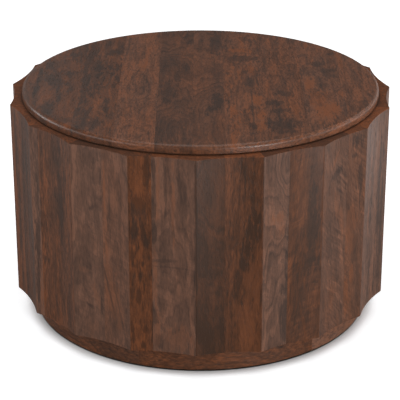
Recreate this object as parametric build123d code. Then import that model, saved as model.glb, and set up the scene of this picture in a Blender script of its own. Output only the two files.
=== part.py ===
"""A round drum table in solid wood: a fluted drum of nineteen staves under a round top.

All sizes are millimetres. The origin lies on the drum's axis at the floor, +Z is up,
and one arris of the drum faces the front, -Y. Angles round the drum are measured from
the front towards +X.
"""

from build123d import *
import os
from math import cos, radians, sin, sqrt, tan

# ---------------------------------------------------------------- driving dimensions

# drum
ARRIS_RADIUS = 375.0            # from the axis to the eased arrises
ARRIS_EASE = 0.5                # taken off each sharp arris
STAVE_COUNT = 19
STAVE_LENGTH = 389.0
STAVE_THICKNESS = 38.0          # from the blank's outer chord to its flat inner face
FLUTE_RADIUS = 300.0            # of the hollow cut in each stave
STAVE_END_CHAMFER = 1.0         # on the outer edges of the stave's two ends
# from each stave's middle to the glue joint between its two boards, towards +X at the front
STAVE_SEAMS = (-8, -6, 15, 22, -12, 9, -21, 4, 17, -15, 11, -3, 19, -9, 7, -18, -40, 2, -20)

# top
TOP_INSET = 26.0                # from the arrises in to the top's edge
TOP_THICKNESS = 18.0
TOP_UPPER_ROUND = 8.0
TOP_ROUND_FLATS = 4             # narrow flats that make the upper round
TOP_LOWER_BEVEL = 2.0
TOP_TURN = 1.3                  # degrees between the top's boards and the front arris
# the boards' widths from left to right, in proportion: together they fill the top
TOP_BOARD_WIDTHS = (37, 76, 78, 76, 68, 59, 78, 75, 77, 74)

# plinth and base
PLINTH_INSET = 39.0             # from the arrises in to the plinth
PLINTH_HEIGHT = 50.0
PLINTH_THICKNESS = 28.0         # measured along a radius
PLINTH_SEGMENTS = 6
PLINTH_FIRST_JOINT = -19.0      # degrees from the front
PLINTH_FOOT_CHAMFER = 1.0
BASE_PANEL_THICKNESS = 18.0

# battens under the top
BATTEN_WIDTH = 45.0
BATTEN_THICKNESS = 20.0
BATTEN_SPACING = 260.0          # between the two battens' middles
BATTEN_END_GAP = 44.0           # from a batten's corners to the inside of the drum
BATTEN_END_BEVEL = 8.0

# blocks that hold the top to the drum
BLOCK_WIDTH = 60.0
BLOCK_DEPTH = 30.0
BLOCK_HEIGHT = 40.0
BLOCK_CHAMFER = 5.0
BLOCK_FIRST_STAVE = 1
BLOCK_STAVE_STEP = 3

# countersunk wood screws
SHORT_SCREW_LENGTH = 30.0
SHORT_SCREW_DIAMETER = 4.0
LONG_SCREW_LENGTH = 50.0
LONG_SCREW_DIAMETER = 5.0
HEAD_TO_SHANK = 2.0             # head diameter over shank diameter
SHANK_CLEARANCE = 0.3           # round a screw in the piece that it clamps
SCREW_SIDES = 8                 # flats round a screw and its holes; diameters are across them
COUNTERSINK_TAPER = 45.0        # degrees between a head's side and the screw's axis
BATTEN_SCREW_MARGIN = 14.0      # from a batten's end to its last screw
PLINTH_SCREW_SPREAD = 18.0      # degrees from a segment's middle to each of its screws

# felt pads glued under the plinth
PAD_DIAMETER = 22.0
PAD_THICKNESS = 3.0

# ------------------------------------------------------------------- derived sizes

STAVE_ANGLE = 360 / STAVE_COUNT
HALF_STAVE = radians(STAVE_ANGLE / 2)
SHARP_RADIUS = ARRIS_RADIUS + ARRIS_EASE
OUTER_CHORD_AT = SHARP_RADIUS * cos(HALF_STAVE)
HALF_CHORD = SHARP_RADIUS * sin(HALF_STAVE)
FLUTE_DEPTH = FLUTE_RADIUS - sqrt(FLUTE_RADIUS**2 - HALF_CHORD**2)
INNER_FACE_AT = OUTER_CHORD_AT - STAVE_THICKNESS
HALF_INNER_FACE = INNER_FACE_AT * tan(HALF_STAVE)

TOP_RADIUS = ARRIS_RADIUS - TOP_INSET
PLINTH_RADIUS = ARRIS_RADIUS - PLINTH_INSET
PLINTH_INNER_RADIUS = PLINTH_RADIUS - PLINTH_THICKNESS
PLINTH_MID_RADIUS = PLINTH_RADIUS - PLINTH_THICKNESS / 2
# half way across the ring where the plinth lies under the base panel
PLINTH_SCREW_RADIUS = (PLINTH_INNER_RADIUS + INNER_FACE_AT) / 2

PLINTH_BOTTOM = PAD_THICKNESS
DRUM_BOTTOM = PLINTH_BOTTOM + PLINTH_HEIGHT
BASE_PANEL_TOP = DRUM_BOTTOM + BASE_PANEL_THICKNESS
RIM = DRUM_BOTTOM + STAVE_LENGTH
TABLE_TOP = RIM + TOP_THICKNESS
BATTEN_UNDERSIDE = RIM - BATTEN_THICKNESS
BLOCK_UNDERSIDE = RIM - BLOCK_HEIGHT

PLINTH_ANGLE = 360 / PLINTH_SEGMENTS
BLOCK_SCREW_RADIUS = INNER_FACE_AT - BLOCK_DEPTH / 2
BATTEN_OUTER_EDGE = BATTEN_SPACING / 2 + BATTEN_WIDTH / 2
BATTEN_HALF_LENGTH = sqrt(INNER_FACE_AT**2 - BATTEN_OUTER_EDGE**2) - BATTEN_END_GAP
BATTEN_MIDDLES = (-BATTEN_SPACING / 2, BATTEN_SPACING / 2)
PLINTH_SEGMENT_MIDDLES = [
    PLINTH_FIRST_JOINT + (index + 0.5) * PLINTH_ANGLE for index in range(PLINTH_SEGMENTS)
]
BLOCK_STAVES = range(BLOCK_FIRST_STAVE, STAVE_COUNT - 1, BLOCK_STAVE_STEP)


# ------------------------------------------------------------------------- screws


def countersunk(head, shank, length):
    """A screw's form pointing up from z = 0: a head that narrows to a shank of this half width."""
    head_height = (head - shank) / tan(radians(COUNTERSINK_TAPER))
    head_section = RegularPolygon(head, SCREW_SIDES, major_radius=False)
    shank_section = RegularPolygon(shank, SCREW_SIDES, major_radius=False)
    cone = extrude(head_section, head_height, taper=COUNTERSINK_TAPER)
    return cone + Pos(0, 0, head_height) * extrude(shank_section, length - head_height)


def screw(length, diameter):
    """A countersunk wood screw with its head's face at z = 0 and its point upwards."""
    shank = diameter / 2
    return countersunk(shank * HEAD_TO_SHANK, shank, length)


def screw_hole(length, diameter):
    """What a screw takes out of the piece that its head sits in: a countersink and a shank hole."""
    shank = diameter / 2
    return countersunk(shank * HEAD_TO_SHANK, shank + SHANK_CLEARANCE, length)


def pilot_hole(length, diameter):
    """What a screw takes out of the piece that its thread bites in."""
    return extrude(RegularPolygon(diameter / 2, SCREW_SIDES, major_radius=False), length)


def on_circle(radius, degrees_from_front, z):
    """A point at this radius and angle round the drum."""
    angle = radians(degrees_from_front)
    return Vector(radius * sin(angle), -radius * cos(angle), z)


def stave_middle(index):
    """The angle of a stave's middle, in degrees from the front."""
    return (index + 0.5) * STAVE_ANGLE


# ----------------------------------------------------------- top boards and battens


def top_joints():
    """The joints between the top's boards, from left to right, with the top's two edges."""
    scale = 2 * TOP_RADIUS / sum(TOP_BOARD_WIDTHS)
    return [sum(TOP_BOARD_WIDTHS[:count]) * scale - TOP_RADIUS for count in range(len(TOP_BOARD_WIDTHS) + 1)]


def batten_screw_places():
    """Where the short screws enter the battens: one for each board that a batten crosses."""
    edges = top_joints()
    places = []
    for y in BATTEN_MIDDLES:
        for left, right in zip(edges, edges[1:]):
            x = (left + right) / 2
            if abs(x) < BATTEN_HALF_LENGTH - BATTEN_SCREW_MARGIN:
                places.append(Rot(0, 0, TOP_TURN) * Pos(x, y, BATTEN_UNDERSIDE))
    return places


def block_screw_places():
    """Where the long screws enter the blocks from below."""
    middles = [stave_middle(index) for index in BLOCK_STAVES]
    return [Pos(*on_circle(BLOCK_SCREW_RADIUS, middle, BLOCK_UNDERSIDE)) for middle in middles]


def top_disc():
    """The whole top, turned from a section whose upper edge is an arc cut in a few flats."""
    round_at = TOP_RADIUS - TOP_UPPER_ROUND
    round_height = TABLE_TOP - TOP_UPPER_ROUND
    turns = [radians(90 * step / TOP_ROUND_FLATS) for step in range(TOP_ROUND_FLATS + 1)]
    upper_edge = [
        (round_at + TOP_UPPER_ROUND * cos(turn), round_height + TOP_UPPER_ROUND * sin(turn)) for turn in turns
    ]
    section = Polyline(
        (0, RIM),
        (TOP_RADIUS - TOP_LOWER_BEVEL, RIM),
        (TOP_RADIUS, RIM + TOP_LOWER_BEVEL),
        *upper_edge,
        (0, TABLE_TOP),
        close=True,
    )
    return revolve(make_face(Plane.XZ * section), Axis.Z)


def top_boards():
    """The round top, sawn along its glue joints into boards that run from front to back."""
    short_pilots = [
        place * pilot_hole(SHORT_SCREW_LENGTH, SHORT_SCREW_DIAMETER) for place in batten_screw_places()
    ]
    long_pilots = [
        place * pilot_hole(LONG_SCREW_LENGTH, LONG_SCREW_DIAMETER) for place in block_screw_places()
    ]
    disc = top_disc() - short_pilots - long_pilots
    edges = top_joints()
    boards = []
    for left, right in zip(edges, edges[1:]):
        blank = Pos((left + right) / 2, 0, RIM + TOP_THICKNESS / 2) * Box(
            right - left, 2 * TOP_RADIUS, TOP_THICKNESS
        )
        boards.append((Rot(0, 0, TOP_TURN) * blank) & disc)
    return boards


def battens():
    """The two battens screwed across the underside of the top's boards."""
    end = BATTEN_HALF_LENGTH
    profile = Polyline(
        (-end, RIM),
        (end, RIM),
        (end, BATTEN_UNDERSIDE + BATTEN_END_BEVEL),
        (end - BATTEN_END_BEVEL, BATTEN_UNDERSIDE),
        (BATTEN_END_BEVEL - end, BATTEN_UNDERSIDE),
        (-end, BATTEN_UNDERSIDE + BATTEN_END_BEVEL),
        close=True,
    )
    section = make_face(Plane.XZ * profile)
    both = []
    for y in BATTEN_MIDDLES:
        batten = Pos(0, y, 0) * extrude(section, BATTEN_WIDTH / 2, both=True)
        both.append(Rot(0, 0, TOP_TURN) * batten)
    holes = [
        place * screw_hole(SHORT_SCREW_LENGTH, SHORT_SCREW_DIAMETER) for place in batten_screw_places()
    ]
    return [batten - holes for batten in both]


def blocks():
    """The blocks glued inside the staves under the rim, each with its screw into the top."""
    holes = [place * screw_hole(LONG_SCREW_LENGTH, LONG_SCREW_DIAMETER) for place in block_screw_places()]
    made = []
    for index in BLOCK_STAVES:
        block = Pos(0, -INNER_FACE_AT, RIM) * Box(
            BLOCK_WIDTH, BLOCK_DEPTH, BLOCK_HEIGHT, align=(Align.CENTER, Align.MIN, Align.MAX)
        )
        inner_face = block.faces().sort_by(Axis.Y)[-1]
        block = chamfer(inner_face.edges().filter_by(Axis.Z), BLOCK_CHAMFER)
        made.append(Rot(0, 0, stave_middle(index)) * block - holes)
    return made


# -------------------------------------------------------------------------- staves


def stave():
    """One whole stave at the front of the drum, with its flute cut and its ends eased."""
    left_arris = (-HALF_CHORD, -OUTER_CHORD_AT)
    right_arris = (HALF_CHORD, -OUTER_CHORD_AT)
    flute = ThreePointArc(left_arris, (0, FLUTE_DEPTH - OUTER_CHORD_AT), right_arris)
    back = Polyline(
        right_arris, (HALF_INNER_FACE, -INNER_FACE_AT), (-HALF_INNER_FACE, -INNER_FACE_AT), left_arris
    )
    section = make_face(Wire([flute, *back.edges()])) & Circle(ARRIS_RADIUS)
    blank = Pos(0, 0, DRUM_BOTTOM) * extrude(section, STAVE_LENGTH)
    hollow = blank.faces().filter_by(GeomType.CYLINDER).sort_by(SortBy.AREA)[-1]
    return chamfer(hollow.edges().filter_by(GeomType.CIRCLE), STAVE_END_CHAMFER)


def stave_boards():
    """The two boards of every stave, as (name, solid), left board first as seen from outside."""
    whole = stave()
    named = []
    for index in range(STAVE_COUNT):
        seam = STAVE_SEAMS[index % len(STAVE_SEAMS)]
        cut = Plane(origin=(seam, 0, 0), z_dir=(1, 0, 0))
        turn = Rot(0, 0, stave_middle(index))
        number = f"{index + 1:02d}"
        named.append((f"stave_{number}_left", turn * split(whole, cut, keep=Keep.BOTTOM)))
        named.append((f"stave_{number}_right", turn * split(whole, cut, keep=Keep.TOP)))
    return named


# --------------------------------------------------------------- plinth and base


def plinth_screw_places():
    """Where the long screws enter the base panel from above: two for each plinth segment."""
    return [
        Pos(*on_circle(PLINTH_SCREW_RADIUS, middle + side * PLINTH_SCREW_SPREAD, BASE_PANEL_TOP))
        * Rot(180, 0, 0)
        for middle in PLINTH_SEGMENT_MIDDLES
        for side in (-1, 1)
    ]


def base_panel():
    """The panel that closes the drum, its edges glued to the staves' inner faces."""
    corners = [
        on_circle(INNER_FACE_AT / cos(HALF_STAVE), index * STAVE_ANGLE, DRUM_BOTTOM)
        for index in range(STAVE_COUNT)
    ]
    panel = extrude(make_face(Polyline(*corners, close=True)), BASE_PANEL_THICKNESS, dir=(0, 0, 1))
    holes = [place * screw_hole(LONG_SCREW_LENGTH, LONG_SCREW_DIAMETER) for place in plinth_screw_places()]
    return panel - holes


def pads():
    """One round felt pad under the middle of each plinth segment."""
    pad = Cylinder(PAD_DIAMETER / 2, PAD_THICKNESS, align=(Align.CENTER, Align.CENTER, Align.MIN))
    return [Pos(*on_circle(PLINTH_MID_RADIUS, middle, 0)) * pad for middle in PLINTH_SEGMENT_MIDDLES]


def plinth_segments():
    """The plinth's ring, sawn into equal segments that butt against each other."""
    ring = Cylinder(PLINTH_RADIUS, PLINTH_HEIGHT, align=(Align.CENTER, Align.CENTER, Align.MIN))
    outer_foot = ring.edges().filter_by(GeomType.CIRCLE).sort_by(Axis.Z)[0]
    ring = chamfer(outer_foot, PLINTH_FOOT_CHAMFER)
    ring = ring - Cylinder(
        PLINTH_INNER_RADIUS, PLINTH_HEIGHT, align=(Align.CENTER, Align.CENTER, Align.MIN)
    )
    ring = Pos(0, 0, PLINTH_BOTTOM) * ring
    pilots = [place * pilot_hole(LONG_SCREW_LENGTH, LONG_SCREW_DIAMETER) for place in plinth_screw_places()]
    ring = ring - pilots
    reach = 2 * PLINTH_RADIUS
    half = reach * tan(radians(PLINTH_ANGLE / 2))
    wedge = extrude(
        make_face(Polyline((0, 0), (-half, -reach), (half, -reach), close=True)), DRUM_BOTTOM
    )
    return [(Rot(0, 0, middle) * wedge) & ring for middle in PLINTH_SEGMENT_MIDDLES]


# ------------------------------------------------------------------------- assembly


def as_one(solids):
    """Separate solids kept side by side in one node."""
    return Compound(children=list(solids))


def build():
    """Every node of the table, as a dictionary from its name to its shape."""
    nodes = {}
    for number, board in enumerate(top_boards(), 1):
        nodes[f"top_board_{number:02d}"] = board
    nodes.update(stave_boards())
    for number, segment in enumerate(plinth_segments(), 1):
        nodes[f"plinth_segment_{number}"] = segment
    nodes["base_panel"] = base_panel()
    nodes["top_battens"] = as_one(battens())
    nodes["top_blocks"] = as_one(blocks())
    nodes["batten_screws"] = as_one(
        place * screw(SHORT_SCREW_LENGTH, SHORT_SCREW_DIAMETER) for place in batten_screw_places()
    )
    nodes["long_screws"] = as_one(
        place * screw(LONG_SCREW_LENGTH, LONG_SCREW_DIAMETER)
        for place in block_screw_places() + plinth_screw_places()
    )
    nodes["felt_pads"] = as_one(pads())
    return nodes


os.makedirs("parts", exist_ok=True)
for name, shape in build().items():
    export_step(shape, f"parts/{name}.step")
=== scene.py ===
"""The finished look of a round, fluted drum table in dark stained wood.

Every new piece is a closed surface lofted through a stack of outlines, all in metres in the frame of
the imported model: the drum's axis is Z, the floor is z = 0 and the front faces -Y. Angles round the drum
are measured from the front towards +X.
"""

import logging
import math
import random
from dataclasses import dataclass, field, fields
from enum import Enum
from typing import NamedTuple, Optional, Sequence, Union

import bmesh
import bpy
import numpy as np
from mathutils import Matrix, Vector


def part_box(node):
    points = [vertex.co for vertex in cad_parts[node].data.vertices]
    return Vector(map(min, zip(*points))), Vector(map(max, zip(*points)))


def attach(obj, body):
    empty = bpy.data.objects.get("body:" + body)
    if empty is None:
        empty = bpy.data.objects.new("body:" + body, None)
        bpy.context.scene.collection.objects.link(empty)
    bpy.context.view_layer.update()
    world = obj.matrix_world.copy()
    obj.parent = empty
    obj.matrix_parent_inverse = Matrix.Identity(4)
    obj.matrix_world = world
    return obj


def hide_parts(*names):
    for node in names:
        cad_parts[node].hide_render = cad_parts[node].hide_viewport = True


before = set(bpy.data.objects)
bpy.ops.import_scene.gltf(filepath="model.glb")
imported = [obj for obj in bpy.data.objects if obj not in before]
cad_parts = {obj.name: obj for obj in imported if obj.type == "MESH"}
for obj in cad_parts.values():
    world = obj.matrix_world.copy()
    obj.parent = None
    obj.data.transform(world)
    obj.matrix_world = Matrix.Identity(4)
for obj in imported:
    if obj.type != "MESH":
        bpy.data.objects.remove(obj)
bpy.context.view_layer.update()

MM = 0.001
UP = Vector((0.0, 0.0, 1.0))
BODY = "root"
WELD = 0.002 * MM
SHARP_ANGLE = math.radians(40)

Triple = tuple[float, float, float]
Socket = bpy.types.NodeSocket
Value = Union[float, Triple, Socket]

log = logging.getLogger("drum_table")


# ---- surfaces


class Surface(NamedTuple):
    """The points of a mesh and the faces that join them."""

    points: np.ndarray
    faces: list[list[int]]


def loft(loops: np.ndarray) -> Surface:
    """Joins closed outlines into a solid.

    The surface is a grid of two parameters: which outline, and how far round it. Neighbouring points of
    the grid make quads, and the first and last outlines are closed by a flat face each.

    Args:
        loops: Points as (outline, place round it, xyz).

    Returns:
        The closed surface.
    """
    rows, columns, _ = loops.shape
    index = np.arange(rows * columns).reshape(rows, columns)
    index = np.hstack([index, index[:, :1]])
    quads = np.stack([index[:-1, :-1], index[:-1, 1:], index[1:, 1:], index[1:, :-1]], axis=-1)
    caps = [index[0, :-1][::-1].tolist(), index[-1, :-1].tolist()]
    return Surface(loops.reshape(-1, 3), quads.reshape(-1, 4).tolist() + caps)


def turned(points: np.ndarray, angle: float) -> np.ndarray:
    """Points turned about Z by this angle in radians, counter-clockwise seen from above."""
    spin = np.array(Matrix.Rotation(angle, 3, "Z"))
    return points @ spin.T


def level(angle: float) -> Vector:
    """The level direction at this angle in radians, counter-clockwise from +X as seen from above."""
    return Vector((math.cos(angle), math.sin(angle), 0.0))


def board_axes(across: Vector, along: Vector) -> Matrix:
    """Rows that point across a board, through its depth and along it."""
    return Matrix((across, along.cross(across), along))


def quarter_round(radius: float, steps: int) -> tuple[np.ndarray, np.ndarray]:
    """A quarter circle that eases an edge.

    With the angle t from 0 to a right angle, the inset is radius * (1 - sin t) and the height is
    radius * (1 - cos t), so the curve starts on the end face and ends on the side.

    Args:
        radius: The radius of the easing.
        steps: How many points the quarter has.

    Returns:
        How far each point lies in from the side, and how far from the end face.
    """
    angle = np.linspace(0.0, math.pi / 2, steps)
    return radius * (1 - np.sin(angle)), radius * (1 - np.cos(angle))


def make_piece(name: str, surface: Surface, material: bpy.types.Material) -> bpy.types.Object:
    """Makes a solid piece that rides on the table and stands for the CAD node of the same name.

    Args:
        name: The CAD node that the piece replaces. The piece is called that with _finish added.
        surface: Its closed surface.
        material: Its finish.

    Returns:
        The new object, at the origin, with its place in its mesh.
    """
    mesh = bpy.data.meshes.new(name + "_finish")
    mesh.from_pydata(surface.points.tolist(), [], surface.faces)
    work = bmesh.new()
    work.from_mesh(mesh)
    bmesh.ops.remove_doubles(work, verts=work.verts, dist=WELD)
    bmesh.ops.dissolve_degenerate(work, edges=work.edges, dist=WELD)
    bmesh.ops.recalc_face_normals(work, faces=work.faces)
    work.to_mesh(mesh)
    work.free()
    mesh.polygons.foreach_set("use_smooth", np.ones(len(mesh.polygons), dtype=bool))
    mesh.set_sharp_from_angle(angle=SHARP_ANGLE)
    mesh.materials.append(material)
    piece = bpy.data.objects.new(name + "_finish", mesh)
    bpy.context.scene.collection.objects.link(piece)
    weighted = piece.modifiers.new("flat_faces_stay_flat", "WEIGHTED_NORMAL")
    weighted.keep_sharp = True
    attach(piece, BODY)
    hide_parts(name)
    log.info("%s: %d faces", piece.name, len(mesh.polygons))
    return piece


# ---- shader trees


class Tree:
    """Adds shader nodes to a tree and wires them, one short call for each."""

    def __init__(self, tree: bpy.types.NodeTree) -> None:
        """Starts with the nodes that the tree already has."""
        self.tree = tree

    def node(
        self, kind: str, inputs: Optional[dict[Union[str, int], Value]] = None, **settings: object
    ) -> bpy.types.Node:
        """Adds one node.

        Args:
            kind: Blender's name of the node's type, without ShaderNode.
            inputs: What goes in each socket, a value or another node's output.
            settings: The node's own properties.

        Returns:
            The node.
        """
        made = self.tree.nodes.new("ShaderNode" + kind)
        for key, value in settings.items():
            setattr(made, key, value)
        for key, value in (inputs or {}).items():
            self.feed(made.inputs[key], value)
        return made

    def feed(self, socket: Socket, value: Value) -> None:
        """Links an output to a socket, or writes a constant in it."""
        if isinstance(value, Socket):
            self.tree.links.new(value, socket)
        else:
            socket.default_value = value

    def place(self) -> Socket:
        """Where a shaded point lies in the object's own coordinates."""
        return self.node("TexCoord").outputs["Object"]

    def split(self, place: Value) -> bpy.types.NodeOutputs:
        """The three coordinates of a place."""
        return self.node("SeparateXYZ", {0: place}).outputs

    def math(self, operation: str, first: Value, second: Value = 0.0, third: Value = 0.0) -> Socket:
        """The result of one arithmetic step on numbers."""
        return self.node("Math", {0: first, 1: second, 2: third}, operation=operation).outputs[0]

    def times(self, first: Value, second: Value) -> Socket:
        """The product of two numbers."""
        return self.math("MULTIPLY", first, second)

    def total(self, *values: Value) -> Socket:
        """The sum of several numbers."""
        result = values[0]
        for value in values[1:]:
            result = self.math("ADD", result, value)
        return result

    def most(self, first: Value, second: Value) -> Socket:
        """The greater of two numbers."""
        return self.math("MAXIMUM", first, second)

    def less(self, first: Value, second: Value) -> Socket:
        """The first number less the second."""
        return self.math("SUBTRACT", first, second)

    def hypot(self, first: Value, second: Value) -> Socket:
        """The distance that two distances at a right angle make."""
        return self.math("SQRT", self.total(self.times(first, first), self.times(second, second)))

    def vector(self, operation: str, first: Value, second: Value) -> Socket:
        """The result of one arithmetic step on vectors."""
        return self.node("VectorMath", {0: first, 1: second}, operation=operation).outputs[0]

    def length(self, place: Value, axes: Triple) -> Socket:
        """How far a place lies from the origin, where only the axes marked with 1 count."""
        counted = self.vector("MULTIPLY", place, axes)
        return self.node("VectorMath", {0: counted}, operation="LENGTH").outputs["Value"]

    def noise(self, place: Value, stretch: Triple, detail: float, roughness: float) -> Socket:
        """Fractal noise from about 0 to 1, with this many waves in a metre along each axis."""
        scaled = self.vector("MULTIPLY", place, stretch)
        inputs = {"Vector": scaled, "Scale": 1.0, "Detail": detail, "Roughness": roughness}
        return self.node("TexNoise", inputs).outputs[0]

    def fade(self, value: Value, low: float, high: float) -> Socket:
        """0 up to low, 1 from high on, and smooth between. Low may be the greater of the two."""
        inputs = {"Value": value, "From Min": low, "From Max": high}
        return self.node("MapRange", inputs, interpolation_type="SMOOTHSTEP").outputs[0]

    def sway(self, value: Value, amount: Value) -> Socket:
        """A noise about its middle of 0.5, times an amount."""
        return self.times(self.less(value, 0.5), amount)

    def ramp(self, value: Value, stops: Sequence[tuple[float, Triple]]) -> Socket:
        """The colour that a number picks from a list of stops."""
        made = self.node("ValToRGB", {0: value})
        elements = made.color_ramp.elements
        while len(elements) < len(stops):
            elements.new(1.0)
        for element, (position, colour) in zip(elements, stops):
            element.position = position
            element.color = (*colour, 1.0)
        return made.outputs[0]

    def bump(self, shader: bpy.types.Node, height: Value, depth: float) -> None:
        """Lets a shader's surface stand out by this depth where the height is 1."""
        made = self.node("Bump", {"Height": height, "Distance": depth})
        self.feed(shader.inputs["Normal"], made.outputs[0])

    def blend(self, share: Value, first: Value, second: Value) -> Socket:
        """Two colours mixed, with this share of the second."""
        made = self.node("Mix", data_type="RGBA")
        colours = [socket for socket in made.inputs if socket.type == "RGBA"]
        self.feed(made.inputs[0], share)
        for socket, value in zip(colours, (first, second)):
            self.feed(socket, (*value, 1.0) if isinstance(value, tuple) else value)
        return next(socket for socket in made.outputs if socket.type == "RGBA")


def emptied(owner: Union[bpy.types.Material, bpy.types.World]) -> Tree:
    """The shader tree of a material or a world, with nothing in it."""
    owner.use_nodes = True
    owner.node_tree.nodes.clear()
    return Tree(owner.node_tree)


def new_material(name: str) -> tuple[bpy.types.Material, Tree, bpy.types.Node]:
    """A material with a Principled shader and nothing that feeds it.

    Args:
        name: The finish's name.

    Returns:
        The material, its tree and the shader node.
    """
    material = bpy.data.materials.new(name)
    tree = emptied(material)
    shader = tree.node("BsdfPrincipled")
    tree.node("OutputMaterial", {"Surface": shader.outputs[0]})
    return material, tree, shader


# ---- the wood


class Figure(Enum):
    """The patterns that a board of this wood may show."""

    PLAIN = "plain"
    STREAKED = "streaked"
    CATHEDRAL = "cathedral"
    MOTTLED = "mottled"
    RIPPLED = "rippled"
    FLECKED = "flecked"


@dataclass(frozen=True)
class Recipe:
    """How strongly each part of the wood's pattern shows in one kind of figure.

    Attributes:
        cloud: Soft dark and light areas, drawn out along the fibres.
        streak: Narrow stripes along the fibres.
        ring: Growth rings.
        slope: How fast the rings widen along the board: 0 for stripes, more for pointed arches.
        swirl: How far the rings wander.
        mottle: Ragged dark patches.
        ember: Ragged glowing patches.
        ripple: Slanting bars across the fibres.
        fleck: Short dark dashes.
        grain: The finest fibres and pores.
    """

    cloud: float
    streak: float
    ring: float
    slope: float
    swirl: float
    mottle: float
    ember: float
    ripple: float
    fleck: float
    grain: float


RECIPES: dict[Figure, Recipe] = {
    Figure.PLAIN: Recipe(1.0, 0.5, 1.0, 0.05, 45 * MM, 0.0, 0.1, 0.8, 0.0, 0.5),
    Figure.STREAKED: Recipe(0.7, 1.5, 1.0, 0.02, 25 * MM, 0.15, 0.2, 0.4, 0.2, 0.95),
    Figure.CATHEDRAL: Recipe(1.1, 0.9, 1.3, 0.16, 60 * MM, 0.2, 0.2, 0.7, 0.1, 0.42),
    Figure.MOTTLED: Recipe(1.4, 1.4, 1.1, 0.06, 80 * MM, 1.0, 1.0, 0.6, 0.3, 0.45),
    Figure.RIPPLED: Recipe(0.9, 0.6, 0.8, 0.03, 70 * MM, 0.2, 0.4, 1.9, 0.4, 0.55),
    Figure.FLECKED: Recipe(0.9, 1.2, 0.9, 0.03, 40 * MM, 0.4, 0.9, 0.5, 1.0, 0.9),
}


@dataclass(frozen=True)
class Mark:
    """A place in one board that stands out: a patch of tone, or an eye that its rings swing round.

    Attributes:
        across: Place of its middle across the board, in millimetres, as half_width is.
        along: Place of its middle along the board, in millimetres, as half_length is.
        half_width: Across.
        half_length: Along.
        strength: Of a patch, from 1, dark, through 0, nothing, to -1, an orange glow. Of an eye, how many
            rings it holds.
        tilt: In degrees, clockwise as seen from outside.
    """

    across: float
    along: float
    half_width: float
    half_length: float
    strength: float = 1.0
    tilt: float = 0.0


@dataclass(frozen=True)
class Board:
    """How one board looks.

    Attributes:
        tone: How many doublings lighter than the wood's middle tone.
        warmth: From 0, grey brown, to 1, orange brown.
        figure: The board's pattern.
        heart: How far across the board its growth rings are centred, in millimetres.
        lean: How far its fibres lean from its length, in degrees, clockwise as seen from outside.
        marks: The patches of tone.
        eyes: The knots and burls that the rings swing round.
        slant: How steeply its ripples fall to the right, as height over width.
        sawn: The tone of its sawn ends.
    """

    tone: float = 0.0
    warmth: float = 0.5
    figure: Figure = Figure.PLAIN
    heart: float = 0.0
    lean: float = 0.0
    marks: tuple[Mark, ...] = ()
    eyes: tuple[Mark, ...] = ()
    slant: float = 0.45
    sawn: float = 0.35


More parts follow.
